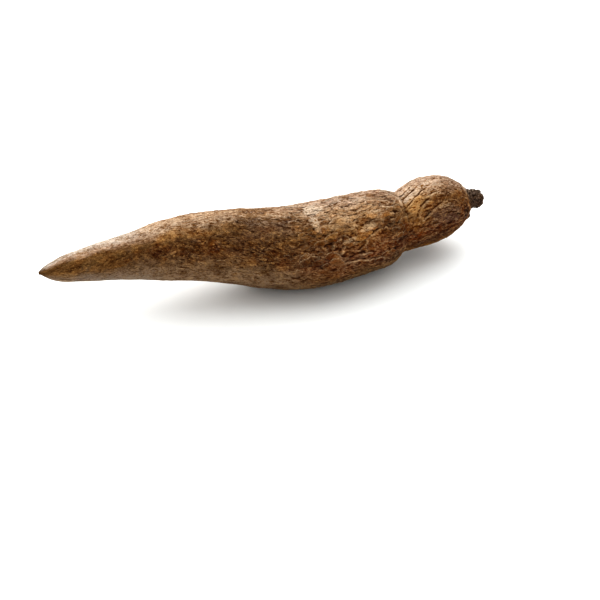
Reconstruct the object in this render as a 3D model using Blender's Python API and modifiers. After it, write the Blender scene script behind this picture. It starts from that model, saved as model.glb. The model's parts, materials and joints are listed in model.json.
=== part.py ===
"""A whole cassava root lying on its belly on a flat surface.

The root grew as one piece: a long tail that tapers to a blunt point, a full belly,
a ring-shaped crease, a round head behind it, and the short woody stub of the stem
that it was cut from. It is modelled as one closed solid.

Metres, +Z up. X runs along the root, from the tail (-X) to the stub (+X). The
surface is at Z = 0. The origin is below the middle of the root's bounding box.
"""

import math

import bmesh
import bpy
from mathutils import Matrix, Vector

MM = 0.001

# Driving dimensions.
RING_POINTS = 10
SUBDIVISIONS = 2
UNDERSIDE_SHIFT = 0.20
FLOOR_CUTTER_SIZE = (500 * MM, 200 * MM, 20 * MM)
BUD_RING = -5
BUD_POINT = 6
BUD_LENGTH = 3.5 * MM
BUD_TAPER = 0.75

# The stations of the root's girth from the tail to the stub, in millimetres:
# place along the root, place across it, height of the middle, half width, half height,
# and how far the station's top leans towards the stub, in degrees.
STATIONS_MM = (
    (-163.5, 1.0, 37.0, 2.6, 2.4, 0.0),
    (-158.0, 0.0, 37.1, 5.6, 5.2, 0.0),
    (-150.0, -1.0, 37.6, 9.2, 8.7, 0.0),
    (-135.0, -1.5, 38.7, 12.4, 12.0, 0.0),
    (-120.0, -1.0, 38.7, 14.6, 14.0, 0.0),
    (-105.0, -0.5, 38.3, 16.7, 16.2, 0.0),
    (-90.0, 0.0, 38.3, 19.7, 19.6, 0.0),
    (-75.0, 0.0, 37.8, 22.2, 22.2, 0.0),
    (-56.0, 0.0, 35.8, 24.4, 24.2, 0.0),
    (-33.0, -1.8, 31.6, 27.3, 27.0, 0.0),
    (-13.0, -6.0, 28.8, 29.5, 28.8, 0.0),
    (7.0, -9.4, 28.1, 30.2, 29.3, 0.0),
    (25.0, -8.8, 28.1, 30.2, 29.1, 0.0),
    (43.0, -5.2, 27.7, 29.4, 28.5, 1.0),
    (58.0, -2.4, 27.0, 28.4, 27.6, 3.0),
    (68.0, -0.2, 26.2, 27.1, 26.6, 5.0),
    (74.0, 1.8, 26.0, 24.8, 24.6, 6.0),
    (78.6, 4.0, 26.2, 20.8, 20.6, 6.0),
    (85.5, 6.8, 27.1, 23.0, 23.0, 5.0),
    (97.0, 9.2, 28.1, 24.8, 24.5, 3.0),
    (110.0, 10.0, 29.1, 24.4, 24.1, 1.0),
    (121.5, 10.2, 29.8, 20.8, 20.4, 0.0),
    (129.4, 10.8, 30.4, 13.4, 13.0, 0.0),
    (132.0, 11.5, 30.9, 7.4, 6.8, 0.0),
    (136.5, 12.0, 31.0, 5.9, 5.7, 0.0),
    (141.4, 11.2, 31.0, 7.0, 6.6, 0.0),
    (144.4, 10.5, 31.0, 4.4, 4.2, 0.0),
)


def clear_scene():
    """Remove whatever the file holds."""
    for thing in list(bpy.data.objects):
        bpy.data.objects.remove(thing, do_unlink=True)


def make_collection(name):
    """A new collection under the scene's own."""
    collection = bpy.data.collections.new(name)
    bpy.context.scene.collection.children.link(collection)
    return collection


def bark_material():
    """Dry, corky, matt brown skin."""
    material = bpy.data.materials.new("cassava_bark")
    material.use_nodes = True
    shader = material.node_tree.nodes["Principled BSDF"]
    shader.inputs["Base Color"].default_value = (0.165, 0.080, 0.033, 1.0)
    shader.inputs["Roughness"].default_value = 0.62
    shader.inputs["Metallic"].default_value = 0.0
    return material


def station_centres():
    """The middle of each station, in metres."""
    centres = []
    for station in STATIONS_MM:
        centres.append(Vector(station[:3]) * MM)
    return centres


def ring_directions(index):
    """The two directions of a station's plane: across the root, and up with its lean."""
    lean = math.radians(STATIONS_MM[index][5])
    sideways = Vector((0.0, 1.0, 0.0))
    upward = Vector((math.sin(lean), 0.0, math.cos(lean)))
    return sideways, upward


def cage_factor():
    """How much wider a cage ring is than the smooth ring that it gives."""
    step = 2.0 * math.pi / RING_POINTS
    return 3.0 / (2.0 + math.cos(step))


def ring_positions(centres, index):
    """The cage points around one station. The underside is set back, so it sits level."""
    sideways, upward = ring_directions(index)
    half_width = STATIONS_MM[index][3] * MM * cage_factor()
    half_height = STATIONS_MM[index][4] * MM * cage_factor()
    positions = []
    for point in range(RING_POINTS):
        angle = 2.0 * math.pi * point / RING_POINTS
        across = half_width * math.cos(angle)
        rise = half_height * math.sin(angle)
        shift = UNDERSIDE_SHIFT * max(0.0, -rise)
        positions.append(centres[index] + sideways * (across + shift) + upward * rise)
    return positions


def loft_cage(cage):
    """Rings joined by quads from the tail to the stub, with a cap at each end."""
    centres = station_centres()
    rings = []
    for index in range(len(centres)):
        ring = []
        for position in ring_positions(centres, index):
            ring.append(cage.verts.new(position))
        rings.append(ring)
    for first, second in zip(rings, rings[1:]):
        for point in range(RING_POINTS):
            following = (point + 1) % RING_POINTS
            corners = (first[point], first[following], second[following], second[point])
            cage.faces.new(corners)
    cage.faces.new(rings[0])
    cage.faces.new(rings[-1])
    bmesh.ops.recalc_face_normals(cage, faces=cage.faces)
    return rings


def grow_bud(cage, rings):
    """A small bud low on the front of the head's end, below the stub."""
    wide, narrow = rings[BUD_RING], rings[BUD_RING + 1]
    corners = {wide[BUD_POINT], wide[BUD_POINT + 1], narrow[BUD_POINT], narrow[BUD_POINT + 1]}
    face = next(face for face in cage.faces if set(face.verts) == corners)
    outward = face.normal.copy()
    bud = bmesh.ops.extrude_discrete_faces(cage, faces=[face])["faces"][0]
    middle = bud.calc_center_median()
    for vertex in bud.verts:
        vertex.co = middle + (vertex.co - middle) * BUD_TAPER + outward * BUD_LENGTH


def root_cage(collection):
    """The coarse cage of the whole root."""
    cage = bmesh.new()
    rings = loft_cage(cage)
    grow_bud(cage, rings)
    mesh = bpy.data.meshes.new("cassava_root")
    cage.to_mesh(mesh)
    cage.free()
    mesh.shade_smooth()
    root = bpy.data.objects.new("cassava_root", mesh)
    collection.objects.link(root)
    return root


def smooth(root):
    """Round the cage into the soft form of the root."""
    modifier = root.modifiers.new("soft_form", "SUBSURF")
    modifier.levels = SUBDIVISIONS
    modifier.render_levels = SUBDIVISIONS


def floor_cutter(collection):
    """A slab whose top is the surface that the root lies on."""
    bpy.ops.mesh.primitive_cube_add(size=1.0)
    cutter = bpy.context.object
    cutter.name = "floor_cutter"
    for former in list(cutter.users_collection):
        former.objects.unlink(cutter)
    collection.objects.link(cutter)
    cutter.data.transform(Matrix.Diagonal((*FLOOR_CUTTER_SIZE, 1.0)))
    cutter.location = (0.0, 0.0, -FLOOR_CUTTER_SIZE[2] / 2.0)
    cutter.hide_render = True
    cutter.display_type = "WIRE"
    return cutter


def flatten_underside(root, cutter):
    """The small flats that the root rests on, worn level with the surface."""
    modifier = root.modifiers.new("rest_flats", "BOOLEAN")
    modifier.operation = "DIFFERENCE"
    modifier.object = cutter
    modifier.solver = "EXACT"


def centre_over_origin(root):
    """Move the root so that the middle of its box stands over the origin."""
    bpy.context.view_layer.update()
    smoothed = root.evaluated_get(bpy.context.evaluated_depsgraph_get())
    mesh = smoothed.to_mesh()
    for axis in (0, 1):
        places = [vertex.co[axis] for vertex in mesh.vertices]
        root.location[axis] = -(min(places) + max(places)) / 2.0
    smoothed.to_mesh_clear()


def main():
    clear_scene()
    parts = make_collection("cassava_root")
    cutters = make_collection("cutters")
    root = root_cage(parts)
    root.data.materials.append(bark_material())
    smooth(root)
    centre_over_origin(root)
    flatten_underside(root, floor_cutter(cutters))


main()
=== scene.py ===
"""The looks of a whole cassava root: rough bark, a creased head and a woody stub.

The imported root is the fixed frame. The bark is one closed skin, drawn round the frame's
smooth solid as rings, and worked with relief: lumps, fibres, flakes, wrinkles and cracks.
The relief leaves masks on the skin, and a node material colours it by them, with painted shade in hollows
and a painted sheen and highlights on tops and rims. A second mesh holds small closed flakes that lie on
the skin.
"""

import itertools
import json
import math

import bpy
import numpy as np
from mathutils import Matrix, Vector
from mathutils.bvhtree import BVHTree

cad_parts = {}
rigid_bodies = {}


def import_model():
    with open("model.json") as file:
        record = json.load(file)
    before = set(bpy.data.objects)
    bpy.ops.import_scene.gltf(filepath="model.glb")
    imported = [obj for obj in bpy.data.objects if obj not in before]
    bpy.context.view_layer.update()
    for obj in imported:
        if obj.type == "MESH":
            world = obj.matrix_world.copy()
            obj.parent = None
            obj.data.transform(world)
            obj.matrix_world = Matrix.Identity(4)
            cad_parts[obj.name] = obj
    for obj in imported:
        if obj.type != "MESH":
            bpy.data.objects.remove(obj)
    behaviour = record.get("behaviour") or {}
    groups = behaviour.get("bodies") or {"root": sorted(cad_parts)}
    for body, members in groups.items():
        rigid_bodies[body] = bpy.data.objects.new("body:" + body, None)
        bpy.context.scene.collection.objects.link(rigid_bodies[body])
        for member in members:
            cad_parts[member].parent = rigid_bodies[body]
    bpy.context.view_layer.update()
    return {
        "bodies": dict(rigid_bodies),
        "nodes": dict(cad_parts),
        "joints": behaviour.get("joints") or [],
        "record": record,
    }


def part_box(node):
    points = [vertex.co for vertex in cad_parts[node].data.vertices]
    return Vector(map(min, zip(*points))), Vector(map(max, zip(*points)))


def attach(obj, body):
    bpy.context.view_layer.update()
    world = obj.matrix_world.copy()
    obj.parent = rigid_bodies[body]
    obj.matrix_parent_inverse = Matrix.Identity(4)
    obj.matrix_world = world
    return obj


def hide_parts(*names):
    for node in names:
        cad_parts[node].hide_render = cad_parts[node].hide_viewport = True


MM = 0.001
NODE = "cassava_root"

# The skin's grid: points round a ring, and rings from the tail's tip to the stub's end.
AROUND = 336
RINGS = 294

# Places of the head's end and of the crease before it, in millimetres. The crease leans: it
# runs further along the root, by that share, the higher it is.
HEAD_END = 138.0
CREASE_X = 88.0
CREASE_MIDDLE_Z = 26.0
CREASE_LEAN = 0.105

# The turn about the root, in degrees from +Y towards the top, where the bark is painted palest: dust with
# a painted sheen.
PALEST_TURN = 75.0

# How far inside the solid's box the skin and the flakes stay, in millimetres.
SKIN_MARGIN = 0.3
FLAKE_MARGIN = 0.1

# How far the skin's two poles stand out past its first and last rings, in millimetres.
POLE_REACH = 0.03

# The flakes: places tried, corners of each and the seed of their random draws.
FLAKE_TRIES = 5200
FLAKE_CORNERS = 14
FLAKE_SEED = 21


def smoothstep(low, high, value):
    """0 below low, 1 above high, and a smooth rise between. low may be the larger."""
    part = np.clip((value - low) / (high - low), 0.0, 1.0)
    return part * part * (3.0 - 2.0 * part)


def bump(centre, width, value):
    """A soft bell of height 1 at the centre."""
    return np.exp(-(((value - centre) / width) ** 2))


# ---------------------------------------------------------------- noise


LOW_BITS = np.uint64(0xFFFFFFFF)


def hashed(cell, seed):
    """A repeatable random number from 0 to 1 for each whole-numbered lattice point."""
    whole = cell.astype(np.int64).astype(np.uint64)
    mixed = whole[..., 0] * np.uint64(374761393)
    mixed = mixed + whole[..., 1] * np.uint64(668265263)
    mixed = mixed + whole[..., 2] * np.uint64(2246822519)
    mixed = (mixed + np.uint64(seed * 3266489917)) & LOW_BITS
    for _ in range(2):
        mixed = ((mixed ^ (mixed >> np.uint64(15))) * np.uint64(2654435761)) & LOW_BITS
    mixed = mixed ^ (mixed >> np.uint64(13))
    return mixed.astype(np.float64) / 2.0**32


def hashed_vectors(cell, seed):
    """A repeatable random vector in the cube from -1 to 1 for each lattice point."""
    parts = [hashed(cell, seed + shift) for shift in (0, 101, 202)]
    return np.stack(parts, axis=-1) * 2.0 - 1.0


def noise(place, seed):
    """Smooth gradient noise, about -1 to 1, with features one unit across."""
    cell = np.floor(place)
    inside = place - cell
    ease = inside**3 * (inside * (inside * 6.0 - 15.0) + 10.0)
    total = np.zeros(place.shape[:-1])
    for corner in itertools.product((0.0, 1.0), repeat=3):
        corner = np.array(corner)
        weight = np.prod(np.where(corner > 0.5, ease, 1.0 - ease), axis=-1)
        slope = hashed_vectors(cell + corner, seed)
        total += weight * np.sum(slope * (inside - corner), axis=-1)
    return total * 1.5


def layered(place, seed, layers=3, falloff=0.5):
    """Noise summed over finer and finer layers."""
    total = np.zeros(place.shape[:-1])
    height = 1.0
    for layer in range(layers):
        total += noise(place * 2.0**layer, seed + 17 * layer) * height
        height *= falloff
    return total


# ---------------------------------------------------------------- the skin's grid


def frame_solid(frame):
    """The CAD solid as a search tree, in millimetres."""
    mesh = frame["nodes"][NODE].data
    points = [vertex.co / MM for vertex in mesh.vertices]
    polygons = [tuple(polygon.vertices) for polygon in mesh.polygons]
    return BVHTree.FromPolygons(points, polygons)


# The distance, in millimetres, for a ray that passes the solid's end without meeting it.
SMALLEST_REACH = 0.05


def cast_ring(solid, x, centre, angles):
    """Distances from the centre out to the solid's surface, in the plane across X."""
    start = Vector((x, centre[0], centre[1]))
    distances = []
    for angle in angles:
        direction = Vector((0.0, math.cos(angle), math.sin(angle)))
        hit = solid.ray_cast(start, direction)
        distances.append(hit[3] if hit[3] is not None else SMALLEST_REACH)
    return np.array(distances)


def ring_centre(solid, x, guess):
    """The middle of the solid's section at x."""
    angles = np.linspace(0.0, 2.0 * math.pi, 24, endpoint=False)
    directions = np.stack([np.cos(angles), np.sin(angles)])
    centre = np.array(guess)
    for _ in range(4):
        reach = cast_ring(solid, x, centre, angles)
        centre = centre + np.mean(reach * directions, axis=1)
    return centre, np.mean(cast_ring(solid, x, centre, angles))


def blurred(values, width, axis, wrap):
    """Values smoothed along one axis of the grid by a bell of that width in steps."""
    reach = int(math.ceil(width * 3.0))
    offsets = np.arange(-reach, reach + 1)
    weights = np.exp(-0.5 * (offsets / width) ** 2)
    weights /= weights.sum()
    mode = "wrap" if wrap else "edge"
    padding = [(0, 0)] * values.ndim
    padding[axis] = (reach, reach)
    padded = np.pad(values, padding, mode=mode)
    result = np.zeros_like(values)
    length = values.shape[axis]
    for offset, weight in zip(offsets, weights):
        chosen = np.arange(reach + offset, reach + offset + length)
        result += weight * np.take(padded, chosen, axis=axis)
    return result


class Skin:
    """The grid of the skin: where each point lies on the smooth solid, and its normal."""

    LEAST_UNROLLED = 13.0

    def __init__(self, frame):
        solid = frame_solid(frame)
        low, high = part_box(NODE)
        self.low = np.array(low) / MM
        self.high = np.array(high) / MM
        self._trace_spine(solid)
        self._cast_rings(solid)
        self._find_normals()

    def _trace_spine(self, solid):
        """Centres and mean radii at many places, and the girth's length from the tip."""
        inset = 0.12
        places = np.linspace(self.low[0] + inset, self.high[0] - inset, 620)
        middle = len(places) // 2
        centres = np.zeros((len(places), 2))
        radii = np.zeros(len(places))
        for run in (range(middle, len(places)), range(middle, -1, -1)):
            guess = (0.0, 0.5 * (self.low[2] + self.high[2]))
            for index in run:
                guess, radii[index] = ring_centre(solid, places[index], guess)
                centres[index] = guess
        steps = np.sqrt(
            np.diff(places) ** 2 + np.diff(radii) ** 2 + np.sum(np.diff(centres, axis=0) ** 2, axis=1)
        )
        girth = np.concatenate(([0.0], np.cumsum(steps)))
        closeness = 1.0 + 0.45 * smoothstep(-30.0, 20.0, places)
        count = np.concatenate(([0.0], np.cumsum(steps * 0.5 * (closeness[1:] + closeness[:-1]))))
        chosen = np.interp(np.linspace(0.0, count[-1], RINGS), count, girth)
        self.x = np.interp(chosen, girth, places)
        self.centres = np.stack([np.interp(chosen, girth, centres[:, k]) for k in (0, 1)], axis=1)
        self.centres = blurred(self.centres, 4.0, 0, wrap=False)
        self.mean_radius = np.interp(chosen, girth, radii)
        self.girth = chosen

    def _cast_rings(self, solid):
        """The radius of every point of the grid, with the solid's facets smoothed away."""
        self.angles = np.linspace(-0.5 * math.pi, 1.5 * math.pi, AROUND, endpoint=False)
        radius = np.zeros((RINGS, AROUND))
        for ring in range(RINGS):
            radius[ring] = cast_ring(solid, self.x[ring], self.centres[ring], self.angles)
        radius = blurred(radius, 1.2, 0, wrap=False)
        self.radius = blurred(radius, 5.0, 1, wrap=True)

    def _find_normals(self):
        """Places of the grid's points and the outward normals there."""
        x = np.repeat(self.x[:, None], AROUND, axis=1)
        y = self.centres[:, None, 0] + self.radius * np.cos(self.angles)
        z = self.centres[:, None, 1] + self.radius * np.sin(self.angles)
        self.points = np.stack([x, y, z], axis=-1)
        along = np.gradient(self.points, axis=0)
        around = 0.5 * (np.roll(self.points, -1, axis=1) - np.roll(self.points, 1, axis=1))
        normal = np.cross(around, along)
        self.normals = normal / np.maximum(np.linalg.norm(normal, axis=-1, keepdims=True), 1e-9)

    def unrolled(self):
        """Places on a straightened root: length along it, and across it in millimetres."""
        reach = np.maximum(self.mean_radius, self.LEAST_UNROLLED)[:, None]
        along = np.repeat(self.girth[:, None], AROUND, axis=1)
        return np.stack([along, reach * np.cos(self.angles), reach * np.sin(self.angles)], axis=-1)

    def spot(self, centre, length, width, climb=0.0):
        """Offsets along and across from a place on the skin, in half lengths and half widths.

        centre is the place along the root in millimetres, and the place around it in degrees:
        0 at the back, 90 on top, 180 at the front. climb is the angle in degrees by which the
        spot's long side climbs from the length."""
        ring = np.argmin(np.abs(self.x - centre[0]))
        apart = (self.angles - math.radians(centre[1]) + math.pi) % (2.0 * math.pi) - math.pi
        across = -apart[None, :] * self.mean_radius[:, None]
        along = np.repeat((self.girth - self.girth[ring])[:, None], AROUND, axis=1)
        cosine, sine = math.cos(math.radians(climb)), math.sin(math.radians(climb))
        forward = (along * cosine + across * sine) / length
        sideways = (across * cosine - along * sine) / width
        return forward, sideways


# ---------------------------------------------------------------- the relief


def stretched(place, along, across):
    """Noise space with features that many millimetres long and wide."""
    return place / np.array((along, across, across))


def warped(place, amount, size, seed):
    """The places pushed about by slow noise, so that lines run wavy."""
    shift = np.stack([noise(place / size, seed + k) for k in (0, 31, 62)], axis=-1)
    return place + shift * np.array((0.5, 1.0, 1.0)) * amount


def scales(place, size, seed, cover, edge):
    """Ragged patches of skin: how far inside a patch, and the light rim along its edge.

    size is a patch's length and width, and cover is where the noise's threshold lies."""
    inside = layered(stretched(place, *size), seed, 3, 0.55) - cover
    return smoothstep(0.0, edge, inside), bump(edge, edge, inside)


# Broad patches of the bark. Each row is the place along the root in millimetres and around
# it in degrees, the half length, the half width, the climb in degrees and the strength.
DEEP_PATCHES = (
    ((8, 155), 30, 11, 0, 0.75),
    ((30, 170), 18, 8, -4, 0.55),
    ((74, 165), 12, 15, 0, 1.0),
    ((80, 150), 4, 9, 0, 0.5),
    ((20, 110), 4, 7, 0, 0.7),
    ((12, 125), 15, 14, 0, 0.8),
    ((-15, 130), 18, 14, 0, 0.35),
    ((-62, 145), 16, 9, 0, 0.7),
    ((76, 110), 10, 13, 0, 0.65),
    # The next two rows are painted shade low on the head's end, as cast by a neighbouring root the scene
    # leaves out.
    ((118, 175), 14, 12, 0, 0.9),
    ((126, 190), 9, 12, 0, 1.0),
    ((108, 200), 18, 10, 0, 0.9),
    ((124, 115), 8, 14, 0, 0.8),
    ((133, 130), 5, 22, 0, 0.6),
    ((-72, 160), 20, 5, 0, 0.5),
    ((-152, 150), 3, 9, 0, 1.0),
    ((82, 90), 3, 14, 0, 0.8),
)
PALE_PATCHES = (
    # The first row is a painted sheen along the tail's top.
    ((-62, 95), 26, 15, 0, 0.9),
    ((-38, 90), 16, 10, 0, 0.6),
    ((-110, 110), 34, 8, 0, 0.3),
    ((34, 105), 15, 9, 0, 0.4),
    ((55, 125), 12, 8, 0, 0.4),
    ((56, 150), 10, 5, 8, 0.5),
    ((96, 110), 11, 14, 20, 1.0),
    ((111, 110), 9, 9, 20, 0.6),
    ((-142, 190), 10, 6, 0, 0.3),
)
GREY_PATCHES = (
    ((117, 160), 14, 6, -4, 0.9),
    ((136, 175), 3, 4, 0, 1.0),
    ((-8, 125), 15, 6, 0, 0.5),
    ((62, 135), 7, 4, 0, 0.6),
    ((-128, 200), 12, 3, 0, 0.5),
)
# Small bits where the outer skin has torn and the pale layer below shows.
TORN_PATCHES = (
    ((24, 95), 6, 5, 0, 0.9),
    ((22, 120), 2.5, 7, 8, 0.8),
    ((57, 140), 6, 2, 8, 0.9),
    ((47, 135), 4, 1.5, 10, 0.6),
    ((42, 150), 5, 1.2, 8, 0.7),
    ((33, 130), 4, 1.5, 0, 0.6),
    ((64, 120), 5, 1.2, 0, 0.6),
    ((88, 115), 2.5, 2, 0, 0.7),
    ((97, 110), 7, 2, 20, 0.6),
    ((118, 145), 4.5, 1.2, 10, 0.6),
)
# Scales of old skin with a lifted upper rim, a painted highlight on the rim and painted shadow in the
# gap: place, half length, half width, climb, rise.
SHEETS = (
    ((64, 160), 13, 7, 14, 0.8),
    ((42, 160), 7, 3.5, 6, 0.7),
    ((35, 150), 5, 2.5, 10, 0.4),
    ((54, 130), 8, 3, 4, 0.4),
    ((104, 140), 7, 2.5, 30, 0.4),
    ((73, 75), 10, 7, 0, 0.7),
)
# Slits and wrinkles: place, half length, half width, climb, depth.
SLITS = (
    ((38, 175), 8, 0.7, -5, 0.35),
    ((56, 180), 12, 0.8, -12, 0.45),
    ((53, 170), 7, 0.7, -5, 0.35),
    ((95, 90), 6, 0.8, 18, 0.8),
    ((97, 100), 5, 0.7, 14, 0.7),
    ((103, 110), 6, 0.7, 20, 0.7),
    ((95, 120), 4, 0.7, 25, 0.6),
    ((109, 120), 6, 0.7, 8, 0.7),
    ((104, 130), 5, 0.7, 24, 0.6),
    ((114, 140), 6, 0.7, 18, 0.6),
    ((105, 150), 5, 0.7, 26, 0.5),
    ((-139, 200), 5, 0.6, 0, 0.5),
    ((76, 115), 7, 0.8, -12, 0.6),
    ((75, 125), 7, 0.8, -12, 0.5),
    ((77, 135), 6, 0.8, -15, 0.4),
)
CREASE_PIT = (89, 135)
STUB_NUB = (138, 170)


class Relief:
    """The height of the bark over the smooth solid, in millimetres, and colour masks, some of which paint
    shade and highlight.
    """

    def __init__(self, skin):
        self.skin = skin
        self.x = skin.points[..., 0]
        self.place = skin.unrolled()
        self.wavy = warped(warped(self.place, 3.0, 15.0, 5), 1.4, 5.0, 305)
        self.height = np.zeros(self.x.shape)
        self._find_regions()
        self.light = np.zeros(self.x.shape)
        self.dark = np.zeros(self.x.shape)
        self.smooth = np.zeros(self.x.shape)
        self.deep = self._patches(DEEP_PATCHES, 0.25)
        self.pale = self._patches(PALE_PATCHES, 0.25)
        self.torn = self._patches(TORN_PATCHES, 0.08)
        self.grey = self._patches(GREY_PATCHES, 0.3)
        self._bend()
        self._grow_fibres()
        self._grow_scales()
        bark_dark = self.dark.copy()
        self._cut_crease()
        self._place_marks()
        self.dark_marks = self.dark - bark_dark
        self._roughen_stub()

    def _find_regions(self):
        """How much each point belongs to the tail, the shoulder, the head and the stub."""
        edge = self.x + 9.0 * noise(self.place / 13.0, 400)
        lean = CREASE_LEAN * (self.skin.points[..., 2] - CREASE_MIDDLE_Z)
        self.from_crease = self.x - CREASE_X - lean
        self.tail = smoothstep(-60.0, -115.0, edge)
        self.head = smoothstep(-1.5, 2.0, self.from_crease)
        self.shoulder = smoothstep(-12.0, 30.0, edge) * (1.0 - self.head)
        girth = self.skin.mean_radius[:, None] + 1.5 * noise(self.place / 3.0, 421)
        self.stub = smoothstep(13.0, 9.0, girth) * smoothstep(HEAD_END - 8.0, HEAD_END - 4.0, self.x)
        self.rise = np.sin(self.skin.angles)[None, :] + 0.25 * noise(self.place / 18.0, 431)
        turn = np.degrees(self.skin.angles)[None, :] - PALEST_TURN
        self.fall = np.abs((turn + 180.0) % 360.0 - 180.0) / 180.0
        self.fall = self.fall + 0.07 * noise(self.place / 16.0, 441) + 0.03 * noise(self.place / 5.0, 451)

    def _patches(self, rows, edge):
        """Uneven patches of the skin, one for each row, with soft edges that wide."""
        total = np.zeros(self.x.shape)
        for number, (centre, length, width, climb, strength) in enumerate(rows):
            forward, sideways = self.skin.spot(centre, length, width, climb)
            place = stretched(self.place, 0.45 * length + 2.0, 0.45 * width + 2.0)
            ragged = layered(place, 1201 + number, 3, 0.6)
            reach = np.sqrt(forward**2 + sideways**2) + 0.45 * ragged
            total = np.maximum(total, strength * smoothstep(1.0 + edge, 1.0 - edge, reach))
        return total

    def _bend(self):
        """Slow swellings."""
        self.height += 0.75 * layered(self.place / 30.0, 11, 2) * (1.0 - 0.7 * self.stub)
        self.height += 0.28 * noise(stretched(self.place, 14.0, 8.0), 13)

    def _grow_fibres(self):
        """Fine fibres and wrinkles along the root."""
        long = 1.0 - np.abs(layered(stretched(self.wavy, 8.0, 1.7), 21, 2))
        short = 1.0 - np.abs(layered(stretched(self.wavy, 4.2, 2.0), 25, 2))
        scurfy = smoothstep(0.56, 0.46, self.fall) * (1.0 - 0.5 * self.tail) * (1.0 - self.head)
        fine = long + (short - long) * scurfy
        cord = 1.0 - np.abs(noise(stretched(self.wavy, 11.0, 3.6), 31))
        fold = 1.0 - np.abs(noise(stretched(self.wavy, 30.0, 5.2), 41))
        near = bump(-9.0, 9.0, self.from_crease)
        calm = 1.0 - 0.6 * self.tail
        self.height += fine * calm * (0.34 + 0.06 * self.shoulder)
        self.height += cord * (0.10 + 0.10 * self.shoulder)
        self.height += fold * (0.08 + 0.10 * self.shoulder + 0.40 * near + 0.15 * self.head)
        pleat = 1.0 - np.abs(noise(stretched(warped(self.place, 1.2, 9.0, 45), 17.0, 2.1), 47))
        self.height += 0.30 * self.head * pleat
        self.dark += smoothstep(0.90, 1.0, fine) * 0.25 + smoothstep(0.93, 1.0, cord) * 0.2

    def _grow_scales(self):
        """Ragged scales of the outer skin, with lifted rims, over the barer bark below."""
        slow = 0.35 * noise(stretched(self.place, 26.0, 13.0), 51)
        amount = 0.20 * self.shoulder + 0.20 * self.head + 0.20 * (1.0 - self.tail)
        big, big_rim = scales(self.wavy, (9.0, 3.6), 61, 0.30 - 0.35 * self.shoulder + slow, 0.16)
        small, small_rim = scales(self.wavy, (4.6, 1.9), 71, 0.12 - slow, 0.2)
        self.height += 0.3 * self.torn
        self.height += amount * (0.55 * big + 0.30 * big_rim + 0.32 * small + 0.15 * small_rim)
        # The scales' rims are paler: thin skin, with a painted highlight where they lift.
        self.light += (0.6 * big_rim + 0.45 * small_rim) * amount

    def _cut_crease(self):
        """The ring-shaped crease between the belly and the head, deeper on top, its groove darkened with
        painted shade.
        """
        wander = self.from_crease + 2.2 * layered(self.place / 6.0, 91, 3)
        top = smoothstep(0.35, 0.8, self.rise)
        self.height -= (0.1 + 0.2 * top) * bump(0.0, 2.6, wander)
        # Painted shade along the crease's groove, deeper on top.
        self.dark += (0.12 + 0.16 * top) * bump(-0.3, 3.2, wander)

    def _cut(self, centre, length, width, climb, depth):
        """A narrow slit with a raised lip above it, the slit darkened with painted shade and the lip made
        paler, partly painted highlight.
        """
        forward, sideways = self.skin.spot(centre, length, width, climb)
        sideways = sideways + 0.7 * noise(self.place / 3.5, int(abs(centre[0]) * 7) + 500)
        body = np.exp(-(forward**4))
        self.height -= 0.6 * depth * body * bump(0.0, 1.0, sideways)
        self.height += 0.4 * depth * body * bump(-1.6, 1.0, sideways)
        # Painted shade in the slit, and a paler lip, partly painted highlight.
        self.dark += 0.5 * body * bump(0.1, 0.9, sideways)
        self.light += 0.6 * body * bump(-1.6, 0.8, sideways)

    def _place_marks(self):
        """The larger marks of this root's front and head."""
        for row in SHEETS:
            self._raise_sheet(*row)
        for row in SLITS:
            self._cut(*row)
        forward, sideways = self.skin.spot(CREASE_PIT, 3.4, 3.0)
        pit = np.exp(-(forward**2) - sideways**2)
        self.height -= 0.3 * pit
        # The crease's pit is darkened with painted shade.
        self.dark += 0.35 * pit

    def _raise_sheet(self, centre, length, width, climb, rise):
        """A scale of old skin whose upper rim has lifted off, the rim made paler, partly painted
        highlight, and painted shadow in the dark gap above it.
        """
        forward, sideways = self.skin.spot(centre, length, width, climb)
        ragged = 0.16 * layered(self.place / 5.0, int(centre[0]) + 700, 3, 0.6)
        reach = np.sqrt(forward**2 + sideways**2) + ragged
        upper = smoothstep(-0.2, 0.5, sideways - 0.5 * forward)
        edge = 0.7 / (0.5 * (length + width))
        rim = bump(1.0 - edge, edge, reach) * upper
        plate = smoothstep(1.0 + edge, 1.0, reach) * smoothstep(-1.0, 0.4, sideways)
        self.height += rise * (0.5 * plate + 0.6 * rim)
        # A paler rim, partly painted highlight.
        self.light += 0.75 * rim * smoothstep(-0.6, 0.4, layered(self.place / 2.5, 731, 2))
        # Painted shadow in the gap above the lifted rim.
        self.dark += 0.6 * bump(1.0 + 1.6 * edge, edge, reach) * upper
        self.smooth = np.maximum(self.smooth, rise * smoothstep(1.0, 0.8, reach))

    def _roughen_stub(self):
        """Knobs on the stub of the stem."""
        knobs = layered(self.skin.points / 3.6, 951, 3, 0.6)
        self.height += self.stub * (1.3 * knobs + 0.5)
        forward, sideways = self.skin.spot(STUB_NUB, 1.8, 5.0)
        self.height += 1.5 * np.exp(-(forward**2) - sideways**2)

    def masks(self):
        """Numbers for the material, each about 0 to 1."""
        near = blurred(blurred(self.height, 1.2, 0, False), 2.2, 1, True)
        wide = blurred(blurred(self.height, 3.0, 0, False), 6.0, 1, True)
        masks = {
            "ridge": np.clip(0.5 + (self.height - near) / 0.22, 0.0, 1.0),
            "hill": np.clip(0.5 + (self.height - wide) / 0.9, 0.0, 1.0),
            "tone": np.full(self.x.shape, 0.5),
        }
        for name in ("light", "dark", "fall"):
            masks[name] = np.clip(getattr(self, name), 0.0, 1.0)
        for name in ("smooth", "deep", "pale", "torn", "grey", "tail", "shoulder", "head", "stub"):
            masks[name] = getattr(self, name)
        return masks


# ---------------------------------------------------------------- mesh building


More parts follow.
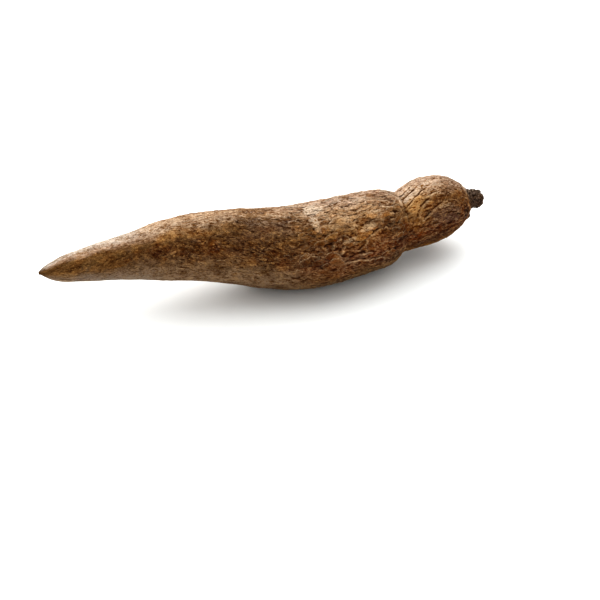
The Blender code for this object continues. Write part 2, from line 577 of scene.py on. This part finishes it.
def room_inside(skin):
    """How far each point may rise along its normal before it leaves the solid's box."""
    above = (skin.high - skin.points) / np.maximum(skin.normals, 0.05)
    beside = (skin.points - skin.low)[..., :2] / np.maximum(-skin.normals[..., :2], 0.05)
    return np.minimum(above.min(axis=-1), beside.min(axis=-1))


def displaced(skin, height):
    """The skin's points with the relief, kept inside the solid's box."""
    inset = 0.45 * smoothstep(1.0, 10.0, skin.points[..., 2])
    crowded = 0.9 * np.exp(-np.maximum(room_inside(skin), 0.0) / 0.9)
    ends = smoothstep(0.0, 3.0, skin.mean_radius)[:, None]
    inset = (inset + blurred(blurred(crowded, 3.0, 0, False), 4.0, 1, True)) * ends
    points = skin.points + skin.normals * ((height - height.mean()) * ends - inset)[..., None]
    below = np.array((SKIN_MARGIN, SKIN_MARGIN, 0.0))
    return np.clip(points, skin.low + below, skin.high - SKIN_MARGIN)


def grid_faces():
    """Quads between the rings, and fans at the two poles, as lists of vertex numbers."""
    ring = np.arange(RINGS - 1)[:, None] * AROUND
    point = np.arange(AROUND)[None, :]
    following = (point + 1) % AROUND
    quads = np.stack(
        [ring + point, ring + AROUND + point, ring + AROUND + following, ring + following], axis=-1
    ).reshape(-1, 4)
    tip = RINGS * AROUND
    end = tip + 1
    last = (RINGS - 1) * AROUND
    faces = [tuple(map(int, quad)) for quad in quads]
    for start in range(AROUND):
        following = (start + 1) % AROUND
        faces.append((tip, start, following))
        faces.append((end, last + following, last + start))
    return faces


def add_attribute(mesh, name, values):
    """A number for each vertex, with the poles taking the mean of their ring."""
    flat = np.concatenate([values.ravel(), [values[0].mean(), values[-1].mean()]])
    attribute = mesh.attributes.new(name, "FLOAT", "POINT")
    attribute.data.foreach_set("value", flat.astype(np.float32))


def add_place_attribute(mesh, name, place):
    """A vector for each vertex, in millimetres on the straightened root."""
    tip = place[0].mean(axis=0)
    end = place[-1].mean(axis=0)
    flat = np.concatenate([place.reshape(-1, 3), [tip, end]])
    attribute = mesh.attributes.new(name, "FLOAT_VECTOR", "POINT")
    attribute.data.foreach_set("vector", flat.astype(np.float32).ravel())


def add_wrap_map(mesh):
    """A UV map that wraps the skin like a sleeve, cut along the underside."""
    layer = mesh.uv_layers.new(name="OFBake")
    margin = 0.004
    vertex = np.zeros(len(mesh.loops), np.int64)
    mesh.loops.foreach_get("vertex_index", vertex)
    ring = np.clip(vertex // AROUND, 0, RINGS)
    round_part = (vertex % AROUND) / AROUND
    length_part = ring / (RINGS + 1) + 1.0 / (RINGS + 1)
    tip = RINGS * AROUND
    length_part[vertex == tip] = 0.0
    length_part[vertex == tip + 1] = 1.0
    starts = np.zeros(len(mesh.polygons), np.int64)
    totals = np.zeros(len(mesh.polygons), np.int64)
    mesh.polygons.foreach_get("loop_start", starts)
    mesh.polygons.foreach_get("loop_total", totals)
    for start, total in zip(starts, totals):
        corners = slice(start, start + total)
        here = round_part[corners]
        poles = vertex[corners] >= tip
        rim = here[~poles]
        if rim.max() - rim.min() > 0.5:
            rim = np.where(rim < 0.5, rim + 1.0, rim)
        here[~poles] = rim
        if poles.any():
            here[poles] = rim.mean()
        round_part[corners] = here
    flat = np.stack([round_part, length_part], axis=-1)
    flat = margin + flat * (1.0 - 2.0 * margin)
    layer.data.foreach_set("uv", flat.astype(np.float32).ravel())


def build_skin(skin, relief):
    """The bark as one closed mesh with its masks."""
    points = displaced(skin, relief.height)
    tip = points[0].mean(axis=0)
    end = points[-1].mean(axis=0)
    tip[0] = points[0, :, 0].min() - POLE_REACH
    end[0] = points[-1, :, 0].max() + POLE_REACH
    vertices = np.concatenate([points.reshape(-1, 3), [tip, end]]) * MM
    mesh = bpy.data.meshes.new("bark")
    mesh.from_pydata(vertices.tolist(), [], grid_faces())
    mesh.update()
    mesh.shade_smooth()
    for name, values in relief.masks().items():
        add_attribute(mesh, name, values)
    add_place_attribute(mesh, "place", skin.unrolled())
    add_wrap_map(mesh)
    bark = bpy.data.objects.new("bark", mesh)
    bpy.context.scene.collection.objects.link(bark)
    return bark


# ---------------------------------------------------------------- the flakes


def sampled(grid, ring, point):
    """Values of the skin's grid at fractional ring and point numbers."""
    ring = np.clip(ring, 0.0, RINGS - 1.001)
    first_ring = np.floor(ring).astype(int)
    first_point = np.floor(point).astype(int)
    ring_part = (ring - first_ring)[..., None]
    point_part = (point - first_point)[..., None]
    flat = grid.reshape(RINGS, AROUND, -1)
    total = 0.0
    for ring_step, point_step in itertools.product((0, 1), repeat=2):
        values = flat[first_ring + ring_step, (first_point + point_step) % AROUND]
        ring_weight = ring_part if ring_step else 1.0 - ring_part
        point_weight = point_part if point_step else 1.0 - point_part
        total = total + values * ring_weight * point_weight
    return total.reshape(ring.shape + grid.shape[2:])


class Flakes:
    """Thin scales of skin, each a closed cap with a lifted rim, drawn on the bark, their upper rims made
    paler with a painted highlight and their skirts darkened with painted shade.

    Each is drawn as rings of points round its middle: inner, outer, rim and skirt."""

    REACHES = (0.5, 0.84, 1.0, 1.03)
    REGIONS = ("tail", "shoulder", "head", "stub", "fall", "deep", "pale", "torn", "grey")

    def __init__(self, skin, relief):
        self.skin = skin
        self.relief = relief
        calm = blurred(blurred(relief.height, 1.4, 0, False), 2.6, 1, True)
        self.base = displaced(skin, calm)
        self.regions = np.stack([getattr(relief, name) for name in self.REGIONS], axis=-1)
        self.vertices = []
        self.faces = []
        self.values = []
        self.places = []
        self.count = 0

    def add(self, rings, points, halves, turns, thickness, curl, tones, seed):
        """Add flakes at these ring and point numbers of the grid."""
        draw = np.random.default_rng(seed)
        corners = FLAKE_CORNERS
        number = len(rings)
        turn = np.linspace(0.0, 2.0 * math.pi, corners, endpoint=False)
        outline = np.ones((number, corners))
        for wave, strength in ((2, 0.10), (3, 0.13), (5, 0.11), (7, 0.08)):
            phase = draw.uniform(0.0, 2.0 * math.pi, (number, 1))
            outline += strength * np.sin(wave * turn + phase) * draw.uniform(0.4, 1.0, (number, 1))
        forward = outline * np.cos(turn)
        sideways = outline * np.sin(turn)
        reaches = np.array((0.0, *self.REACHES))[None, :, None]
        along = forward[:, None, :] * reaches * halves[:, 0, None, None]
        across = sideways[:, None, :] * reaches * halves[:, 1, None, None]
        cosine = np.cos(turns)[:, None, None]
        sine = np.sin(turns)[:, None, None]
        run = along * cosine - across * sine
        climb = along * sine + across * cosine
        girth = np.interp(rings, np.arange(RINGS), self.skin.girth)[:, None, None] + run
        ring = np.interp(girth, self.skin.girth, np.arange(RINGS))
        radius = np.interp(ring, np.arange(RINGS), self.skin.mean_radius)
        angles = np.interp(points % AROUND, np.arange(AROUND), self.skin.angles)
        upward = np.where(np.cos(angles) < 0.0, -1.0, 1.0)[:, None, None]
        around = upward * climb / np.maximum(radius, 4.0) * AROUND / (2.0 * math.pi)
        point = points[:, None, None] + around
        lift = np.array((1.15, 1.1, 1.0, 0.9, 0.0))[None, :, None] * thickness[:, None, None]
        edge = np.array((0.0, 0.1, 0.55, 1.0, 0.0))[None, :, None]
        side = np.where(curl < 0.0, -1.0, 1.0)[:, None, None]
        height = lift + edge * np.abs(curl)[:, None, None] * np.clip(side * np.sin(turn) + 0.25, 0.0, 1.0)
        height[:, -1, :] = -0.45
        base = sampled(self.base, ring, point)
        normal = sampled(self.skin.normals, ring, point)
        spots = base + normal * height[..., None]
        spots = np.clip(spots, self.skin.low + FLAKE_MARGIN, self.skin.high - FLAKE_MARGIN)
        regions = sampled(self.regions, ring, point)
        place = sampled(self.skin.unrolled(), ring, point)
        rim = np.broadcast_to(np.array((0.0, 0.0, 0.25, 1.0, 0.0))[None, :, None], ring.shape)
        under_shade = np.broadcast_to(np.array((0.0, 0.0, 0.0, 0.0, 1.0))[None, :, None], ring.shape)
        # Rims paler on the flake's upper side: painted highlight.
        upper = 0.2 + 0.8 * np.clip(np.sin(turn) + 0.3, 0.0, 1.0)
        upper = upper * np.where(curl < 0.0, 0.55, 1.0)[:, None, None]
        tone = np.broadcast_to(tones[:, None, None], ring.shape)
        # The skirt's values go to the dark mask: painted shade.
        values = np.stack([rim * upper, under_shade, tone], axis=-1)
        values = np.concatenate([values, regions], axis=-1)
        self._add_caps(spots, values, place, corners)

    def _add_caps(self, spots, values, place, corners):
        """Turn the rings of points into closed caps."""
        number, layers = spots.shape[:2]
        each = 2 + (layers - 1) * corners
        for source, target in ((spots, self.vertices), (values, self.values), (place, self.places)):
            top = source[:, 0, :1]
            middle = source[:, 1:].reshape(number, (layers - 1) * corners, -1)
            bottom = source[:, -1].mean(axis=1, keepdims=True)
            target.append(np.concatenate([top, middle, bottom], axis=1).reshape(number * each, -1))
        following = (np.arange(corners) + 1) % corners
        here = np.arange(corners)
        triangles = [np.stack([np.zeros(corners, int), 1 + here, 1 + following], axis=-1)]
        for layer in range(layers - 2):
            inner = 1 + layer * corners
            outer = inner + corners
            triangles.append(np.stack([inner + here, outer + here, outer + following], axis=-1))
            triangles.append(np.stack([inner + here, outer + following, inner + following], axis=-1))
        last = 1 + (layers - 2) * corners
        end = each - 1
        triangles.append(np.stack([last + here, np.full(corners, end), last + following], axis=-1))
        pattern = np.concatenate(triangles)
        starts = self.count + np.arange(number)[:, None, None] * each
        self.faces.append((pattern[None] + starts).reshape(-1, 3))
        self.count += number * each

    def scatter(self, seed):
        """Small scales all over, larger and closer together on the shoulder."""
        draw = np.random.default_rng(seed)
        ring = draw.uniform(4.0, RINGS - 5.0, FLAKE_TRIES)
        point = draw.uniform(0.0, AROUND, FLAKE_TRIES)
        radius = np.interp(ring, np.arange(RINGS), self.skin.mean_radius)
        whole_ring = ring.astype(int)
        whole_point = point.astype(int)
        tail, shoulder, head, stub, fall = np.moveaxis(self.regions[whole_ring, whole_point], -1, 0)[:5]
        patch = noise(self.skin.unrolled()[whole_ring, whole_point] / 16.0, 611)
        near = bump(0.0, 4.0, self.relief.from_crease[whole_ring, whole_point])
        wanted = (0.18 + 0.45 * shoulder - 0.02 * head - 0.15 * tail) * (1.0 + 0.9 * patch)
        wanted = wanted * (1.0 - near) * smoothstep(0.62, 0.46, fall)
        wanted = wanted * radius / 28.0 * (1.0 - stub)
        gap = self.relief.dark_marks[whole_ring, whole_point]
        calm = (self.relief.smooth[whole_ring, whole_point] < 0.3) & (gap < 0.25)
        kept = (draw.uniform(0.0, 1.0, FLAKE_TRIES) < wanted) & calm
        ring, point, shoulder, head, tail = (value[kept] for value in (ring, point, shoulder, head, tail))
        number = len(ring)
        size = draw.lognormal(0.0, 0.32, number) * (1.3 + 1.9 * shoulder + 0.4 * head)
        slim = draw.uniform(0.32, 0.55, number)
        halves = np.stack([size, size * slim], axis=-1)
        turns = draw.normal(0.0, 0.28, number)
        thickness = draw.uniform(0.16, 0.40, number) * (0.7 + 0.8 * shoulder)
        curl = draw.uniform(0.1, 0.7, number) * (0.3 + 0.9 * shoulder + 0.2 * head)
        curl = curl * np.where(draw.uniform(0.0, 1.0, number) < 0.6, -1.0, 1.0)
        tones = np.clip(draw.normal(0.46, 0.17, number), 0.0, 1.0)
        self.add(ring, point, halves, turns, thickness, curl, tones, seed + 1)

    def build(self):
        """All the flakes as one mesh with the masks that the bark's material reads."""
        vertices = np.concatenate(self.vertices) * MM
        mesh = bpy.data.meshes.new("flakes")
        mesh.from_pydata(vertices.tolist(), [], np.concatenate(self.faces).tolist())
        mesh.update()
        mesh.shade_smooth()
        values = np.concatenate(self.values)
        columns = dict(zip(("light", "dark", "tone", *self.REGIONS), values.T))
        for name, constant in (("ridge", 0.5), ("hill", 0.6), ("smooth", 0.0)):
            columns[name] = np.full(len(values), constant)
        for name, column in columns.items():
            attribute = mesh.attributes.new(name, "FLOAT", "POINT")
            attribute.data.foreach_set("value", column.astype(np.float32))
        attribute = mesh.attributes.new("place", "FLOAT_VECTOR", "POINT")
        attribute.data.foreach_set("vector", np.concatenate(self.places).astype(np.float32).ravel())
        flakes = bpy.data.objects.new("flakes", mesh)
        bpy.context.scene.collection.objects.link(flakes)
        return flakes


# ---------------------------------------------------------------- material


class Nodes:
    """Short names for the nodes that the bark's material is made of."""

    def __init__(self, name):
        self.material = bpy.data.materials.new(name)
        self.material.use_nodes = True
        self.tree = self.material.node_tree
        self.tree.nodes.clear()

    def new(self, kind, **settings):
        node = self.tree.nodes.new(kind)
        for setting, value in settings.items():
            setattr(node, setting, value)
        return node

    def link(self, source, target):
        if isinstance(source, bpy.types.NodeSocket):
            self.tree.links.new(source, target)
        else:
            target.default_value = source

    def attribute(self, name, socket="Fac"):
        return self.new("ShaderNodeAttribute", attribute_name=name).outputs[socket]

    def math(self, operation, first, second=0.0):
        node = self.new("ShaderNodeMath", operation=operation)
        self.link(first, node.inputs[0])
        self.link(second, node.inputs[1])
        return node.outputs[0]

    def times(self, first, second):
        return self.math("MULTIPLY", first, second)

    def rest(self, value):
        """What is left of 1."""
        return self.math("SUBTRACT", 1.0, value)

    def scaled(self, vector, size):
        node = self.new("ShaderNodeVectorMath", operation="MULTIPLY")
        self.link(vector, node.inputs[0])
        node.inputs[1].default_value = size
        return node.outputs[0]

    def noise(self, vector, detail=3.0, roughness=0.55, distortion=0.0):
        node = self.new("ShaderNodeTexNoise")
        self.link(vector, node.inputs["Vector"])
        node.inputs["Scale"].default_value = 1.0
        node.inputs["Detail"].default_value = detail
        node.inputs["Roughness"].default_value = roughness
        node.inputs["Distortion"].default_value = distortion
        return node.outputs["Fac"]

    def line(self, place, size, width, shift=0.0):
        """Thin wavy lines: where a stretched noise passes through its middle value."""
        moved = self.new("ShaderNodeVectorMath", operation="ADD")
        self.link(place, moved.inputs[0])
        moved.inputs[1].default_value = (shift, shift, shift)
        field = self.noise(self.scaled(moved.outputs[0], size), detail=2.0, distortion=0.8)
        apart = self.math("ABSOLUTE", self.math("SUBTRACT", field, 0.5))
        return self.ramp(apart, width, 0.2 * width)

    def ramp(self, value, low, high, from_value=0.0, to_value=1.0):
        node = self.new("ShaderNodeMapRange", interpolation_type="SMOOTHSTEP")
        self.link(value, node.inputs["Value"])
        node.inputs["From Min"].default_value = low
        node.inputs["From Max"].default_value = high
        node.inputs["To Min"].default_value = from_value
        node.inputs["To Max"].default_value = to_value
        return node.outputs["Result"]

    def banded(self, place, colours):
        """A colour that changes with the place from band to band."""
        node = self.new("ShaderNodeValToRGB")
        self.link(place, node.inputs[0])
        stops = node.color_ramp.elements
        while len(stops) < len(colours):
            stops.new(0.5)
        for stop, position in zip(stops, BAND_PLACES):
            stop.position = position
        for stop, colour in zip(stops, colours):
            stop.color = shade(*colour)
        return node.outputs[0]

    def deeper(self, factor, colour, tint):
        """The colour multiplied by a tint, as far as the factor says."""
        return self.mix(factor, colour, (*tint, 1.0), "MULTIPLY")

    def mix(self, factor, first, second, blend="MIX"):
        """One colour over another. A mix node's colours are its inputs 6 and 7."""
        node = self.new("ShaderNodeMix", data_type="RGBA", blend_type=blend)
        self.link(factor, node.inputs["Factor"])
        self.link(first, node.inputs[6])
        self.link(second, node.inputs[7])
        return node.outputs[2]

    def finish(self, shader):
        """Make the shader the material's surface."""
        output = self.new("ShaderNodeOutputMaterial")
        self.link(shader.outputs[0], output.inputs["Surface"])


def shade(red, green, blue):
    """A colour given as it looks on screen, from 0 to 255, as the shader wants it."""
    linear = []
    for part in (red, green, blue):
        value = part / 255.0
        linear.append(value / 12.92 if value <= 0.04045 else ((value + 0.055) / 1.055) ** 2.4)
    return (*linear, 1.0)


# Shares of red, green and blue that are left in the dark parts, which are darker bark and, in hollows,
# painted shade, and in the ochre patches.
DEEP = (0.40, 0.23, 0.04)
OCHRE = (1.15, 0.86, 0.35)

# The bark's main colours as they look on screen.
CREAM_DUST_AND_SHEEN = (205, 195, 185)
PINK_DUST_AND_SHEEN = (190, 165, 145)
PALE_TAN = (180, 145, 105)
ASH = (160, 145, 130)
GREY_TAN = (150, 125, 100)
TAN = (145, 110, 70)
GREY_BROWN = (125, 100, 75)
WARM_BROWN = (105, 75, 40)
GOLDEN_BROWN = (125, 80, 25)
DARK_GOLD = (95, 55, 10)
RUST = (120, 60, 10)
UMBER = (80, 55, 25)

# The main colour changes in bands, from the palest line on top, 0, to the far side below, 1. The bands
# paint light as well as bark: a painted sheen over dust on top, painted shade in the darker front band,
# and a greyer painted sheen over dust low down.
BAND_PLACES = (0.08, 0.20, 0.30, 0.42, 0.55, 0.75)
TAIL_BANDS = (CREAM_DUST_AND_SHEEN, PINK_DUST_AND_SHEEN, WARM_BROWN, UMBER, GREY_BROWN, ASH)
BELLY_BANDS = (TAN, WARM_BROWN, WARM_BROWN, DARK_GOLD, GREY_BROWN, GREY_TAN)
SHOULDER_BANDS = (PINK_DUST_AND_SHEEN, PALE_TAN, TAN, GOLDEN_BROWN, RUST, WARM_BROWN)
HEAD_BANDS = (PINK_DUST_AND_SHEEN, PINK_DUST_AND_SHEEN, TAN, GOLDEN_BROWN, RUST, GOLDEN_BROWN)


# The colours of finer markings: dust and lifted rims, each low down and on top, the ones on top lighter
# with a painted sheen, then stains, the film of grey skin, the big scales, the dark of cracks and fibres,
# partly painted shade, and the stub's wood.
LOW_DUST = (208, 162, 102)
TOP_DUST_AND_SHEEN = (232, 208, 182)
LOW_RIM = (232, 202, 162)
TOP_RIM_AND_SHEEN = (244, 228, 206)
STAIN = (112, 88, 76)
GREY_FILM = (108, 88, 80)
OLD_SKIN = (122, 72, 28)
SHADE_AND_DARK_FIBRE = (30, 13, 4)
DARK_WOOD = (34, 20, 13)
WOOD = (104, 84, 70)
PALE_WOOD = (176, 160, 144)

MASKS = (
    *("ridge", "hill", "light", "dark", "smooth", "deep", "pale", "torn", "grey", "tone"),
    *("tail", "shoulder", "head", "stub", "fall"),
)


def banded_base(nodes, mask):
    """The main colours: the belly's bands, then the tail's, the shoulder's and the head's."""
    base = nodes.banded(mask["fall"], BELLY_BANDS)
    for region, bands in (("tail", TAIL_BANDS), ("shoulder", SHOULDER_BANDS), ("head", HEAD_BANDS)):
        base = nodes.mix(mask[region], base, nodes.banded(mask["fall"], bands))
    return base


def weathered(nodes, mask, place, base, pale):
    """Ochre and grey stains, the placed patches, and uneven wear."""
    fall = mask["fall"]
    patch = nodes.noise(nodes.scaled(place, (0.06, 0.09, 0.09)), detail=3.0, distortion=0.6)
    large = nodes.scaled(place, (0.075, 0.11, 0.11))
    wear = nodes.noise(large, detail=6.0, roughness=0.9, distortion=0.4)
    middle = nodes.times(nodes.ramp(fall, 0.60, 0.50), nodes.ramp(fall, 0.18, 0.28))
    middle = nodes.times(middle, nodes.rest(nodes.times(mask["head"], 0.4)))
    ochre = nodes.times(nodes.ramp(patch, 0.50, 0.60, 0.0, 0.75), middle)
    base = nodes.deeper(ochre, base, OCHRE)
    base = nodes.mix(nodes.ramp(patch, 0.46, 0.36, 0.0, 0.25), base, shade(*STAIN))
    base = nodes.deeper(nodes.times(mask["deep"], 0.7), base, DEEP)
    base = nodes.mix(nodes.times(mask["pale"], 0.5), base, pale)
    base = nodes.mix(nodes.times(mask["grey"], 0.6), base, shade(*GREY_FILM))
    calm = nodes.times(mask["tail"], nodes.ramp(fall, 0.46, 0.54, 0.25, 0.7))
    lively = nodes.rest(calm)
    base = nodes.deeper(nodes.times(nodes.ramp(wear, 0.52, 0.38), lively), base, DEEP)
    base = nodes.mix(nodes.times(nodes.ramp(wear, 0.52, 0.66, 0.0, 0.40), lively), base, pale)
    base = nodes.deeper(nodes.ramp(mask["tone"], 0.5, 0.0, 0.0, 0.8), base, DEEP)
    base = nodes.mix(nodes.ramp(mask["tone"], 0.5, 1.0, 0.0, 0.6), base, pale)
    return nodes.mix(nodes.times(mask["smooth"], 0.4), base, shade(*OLD_SKIN))


def rimmed(nodes, mask, grain, base, pale, cream):
    """Ridges and lifted rims made paler, with wear and painted highlight, torn bits, hollows darkened as
    painted shade, and darker grain.
    """
    wear_and_highlight = nodes.times(nodes.ramp(mask["ridge"], 0.62, 1.0), nodes.ramp(grain, 0.42, 0.60))
    base = nodes.mix(nodes.times(wear_and_highlight, 0.30), base, pale)
    rim_and_highlight = nodes.times(mask["light"], nodes.ramp(grain, 0.36, 0.56, 0.15, 0.65))
    base = nodes.mix(rim_and_highlight, base, cream)
    bared = nodes.times(mask["torn"], nodes.ramp(grain, 0.34, 0.56, 0.15, 0.6))
    base = nodes.mix(bared, base, cream)
    # Hollows of the relief, low in ridge and hill, darkened: painted shade.
    base = nodes.deeper(nodes.ramp(mask["ridge"], 0.38, 0.0), base, DEEP)
    base = nodes.deeper(nodes.ramp(mask["hill"], 0.34, 0.0, 0.0, 0.8), base, DEEP)
    base = nodes.deeper(nodes.ramp(grain, 0.46, 0.32), base, DEEP)
    return nodes.mix(nodes.ramp(grain, 0.60, 0.72, 0.0, 0.45), base, pale)


def speckled(nodes, mask, place, base, pale):
    """Pale and dark specks, the pale ones partly painted glints, but none on the head or low down, and
    few on the shoulder.
    """
    speck = nodes.noise(nodes.scaled(place, (0.5, 0.95, 0.95)), detail=3.0, roughness=0.7)
    plain = nodes.rest(nodes.math("MAXIMUM", mask["head"], nodes.times(mask["shoulder"], 0.7)))
    shown = nodes.times(nodes.ramp(mask["fall"], 0.64, 0.52), plain)
    base = nodes.mix(nodes.times(nodes.ramp(speck, 0.57, 0.72, 0.0, 0.55), shown), base, pale)
    return nodes.deeper(nodes.times(nodes.ramp(speck, 0.46, 0.32, 0.0, 0.8), shown), base, DEEP)


def woody_stub(nodes, mask, place, base):
    """Dark, mottled wood on the stub of the stem."""
    mottle = nodes.noise(nodes.scaled(place, (0.8, 0.35, 0.35)), detail=3.0, roughness=0.7)
    woody = nodes.mix(nodes.ramp(mottle, 0.42, 0.56), shade(*DARK_WOOD), shade(*WOOD))
    woody = nodes.mix(nodes.ramp(mottle, 0.58, 0.68), woody, shade(*PALE_WOOD))
    return nodes.mix(nodes.times(mask["stub"], 0.85), base, woody)


def bark_material():
    """Fibrous brown bark: dusty tan scales with pale rims over dark reddish bark."""
    nodes = Nodes("cassava_bark")
    place = nodes.attribute("place", "Vector")
    mask = {name: nodes.attribute(name) for name in MASKS}
    grain = nodes.noise(nodes.scaled(place, (0.8, 1.4, 1.4)), detail=4.0, roughness=0.75)
    pale_line_and_glint = nodes.line(place, (0.24, 0.58, 0.58), 0.035)
    dark_line = nodes.line(place, (0.20, 0.46, 0.46), 0.030, shift=40.0)
    # Dust and rims turn lighter on top: a painted sheen.
    above = nodes.ramp(mask["fall"], 0.30, 0.16)
    pale = nodes.mix(above, shade(*LOW_DUST), shade(*TOP_DUST_AND_SHEEN))
    cream = nodes.mix(above, shade(*LOW_RIM), shade(*TOP_RIM_AND_SHEEN))

    base = weathered(nodes, mask, place, banded_base(nodes, mask), pale)
    base = nodes.deeper(nodes.times(dark_line, 0.7), base, DEEP)
    # Thin pale lines: pale fibres with painted glints.
    base = nodes.mix(nodes.times(pale_line_and_glint, 0.18), base, pale)
    base = rimmed(nodes, mask, grain, base, pale, cream)
    base = speckled(nodes, mask, place, base, pale)
    # The dark mask paints shade in the crease, the slits, the pit, the gaps by lifted skin and the
    # flakes' skirts, and also marks dark fibres.
    base = nodes.mix(nodes.times(mask["dark"], 0.8), base, shade(*SHADE_AND_DARK_FIBRE))
    base = woody_stub(nodes, mask, place, base)

    shader = nodes.new("ShaderNodeBsdfPrincipled")
    nodes.link(base, shader.inputs["Base Color"])
    nodes.link(nodes.ramp(grain, 0.3, 0.7, 0.5, 0.7), shader.inputs["Roughness"])
    shader.inputs["Specular IOR Level"].default_value = 0.02
    lines = nodes.math("SUBTRACT", nodes.times(pale_line_and_glint, 0.3), nodes.times(dark_line, 0.4))
    bumps = nodes.new("ShaderNodeBump")
    bumps.inputs["Strength"].default_value = 1.0
    bumps.inputs["Distance"].default_value = 0.7 * MM
    nodes.link(nodes.math("ADD", grain, lines), bumps.inputs["Height"])
    nodes.link(bumps.outputs["Normal"], shader.inputs["Normal"])
    nodes.finish(shader)
    return nodes.material


# ---------------------------------------------------------------- stage

FLOOR_SIZE = 12.0
FLOOR_COLOUR = (0.765, 0.78, 0.775, 1.0)
SCREEN_GAMMA = 0.8

CAMERA_AZIMUTH = -18.0
CAMERA_ELEVATION = 34.0
CAMERA_DISTANCE = 1.0
CAMERA_LENS = 91.6
CAMERA_SENSOR = 36.0
CAMERA_TARGET = (0.0103, -0.0241, 0.0)


def plain_material(name, colour, roughness):
    """One even colour."""
    nodes = Nodes(name)
    shader = nodes.new("ShaderNodeBsdfPrincipled")
    shader.inputs["Base Color"].default_value = colour
    shader.inputs["Roughness"].default_value = roughness
    nodes.finish(shader)
    return nodes.material


def make_floor():
    """A wide pale floor for the root to lie on."""
    bpy.ops.mesh.primitive_plane_add(size=FLOOR_SIZE, location=(0.0, 0.0, 0.0))
    floor = bpy.context.object
    floor.name = "floor"
    floor.data.materials.append(plain_material("pale_floor", FLOOR_COLOUR, 0.6))


def aimed(thing, place, target):
    """Put a light or a camera at a place, turned to the target."""
    thing.location = place
    thing.rotation_euler = (Vector(target) - Vector(place)).to_track_quat("-Z", "Y").to_euler()


def make_sun(name, azimuth, elevation, spread, strength):
    """A wide, soft light from far off. Azimuth 0 is straight behind the root, +Y."""
    lamp = bpy.data.lights.new(name, "SUN")
    lamp.angle = math.radians(spread)
    lamp.energy = strength
    light = bpy.data.objects.new(name, lamp)
    bpy.context.scene.collection.objects.link(light)
    turn = math.radians(azimuth)
    lift = math.radians(elevation)
    level = math.cos(lift)
    aimed(light, (level * math.sin(turn), level * math.cos(turn), math.sin(lift)), (0.0, 0.0, 0.0))


def make_world(fill):
    """Even white light from all round, which is also the plain white background."""
    world = bpy.data.worlds.new("studio")
    world.use_nodes = True
    background = world.node_tree.nodes["Background"]
    background.inputs["Color"].default_value = (1.0, 1.0, 1.0, 1.0)
    background.inputs["Strength"].default_value = fill
    bpy.context.scene.world = world


def make_camera():
    """The camera looks down on the root from its front left."""
    data = bpy.data.cameras.new("camera")
    data.lens = CAMERA_LENS
    data.sensor_width = CAMERA_SENSOR
    camera = bpy.data.objects.new("camera", data)
    bpy.context.scene.collection.objects.link(camera)
    turn = math.radians(CAMERA_AZIMUTH)
    lift = math.radians(CAMERA_ELEVATION)
    level = math.cos(lift)
    back = Vector((math.sin(turn) * level, -math.cos(turn) * level, math.sin(lift)))
    aimed(camera, Vector(CAMERA_TARGET) + back * CAMERA_DISTANCE, CAMERA_TARGET)
    bpy.context.scene.camera = camera


def make_stage():
    """The floor, the lights, the background and the camera."""
    bpy.context.scene.view_settings.view_transform = "Standard"
    bpy.context.scene.view_settings.gamma = SCREEN_GAMMA
    make_floor()
    make_world(fill=1.25)
    make_sun("key", azimuth=-5.0, elevation=44.0, spread=122.0, strength=3.3)
    make_sun("low_back", azimuth=-8.0, elevation=24.0, spread=60.0, strength=1.4)
    make_camera()


def main():
    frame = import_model()
    skin = Skin(frame)
    relief = Relief(skin)
    material = bark_material()
    bark = build_skin(skin, relief)
    bark.data.materials.append(material)
    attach(bark, "root")
    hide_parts(NODE)
    thin_scales = Flakes(skin, relief)
    thin_scales.scatter(FLAKE_SEED)
    flakes = thin_scales.build()
    flakes.data.materials.append(material)
    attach(flakes, "root")
    make_stage()


main()
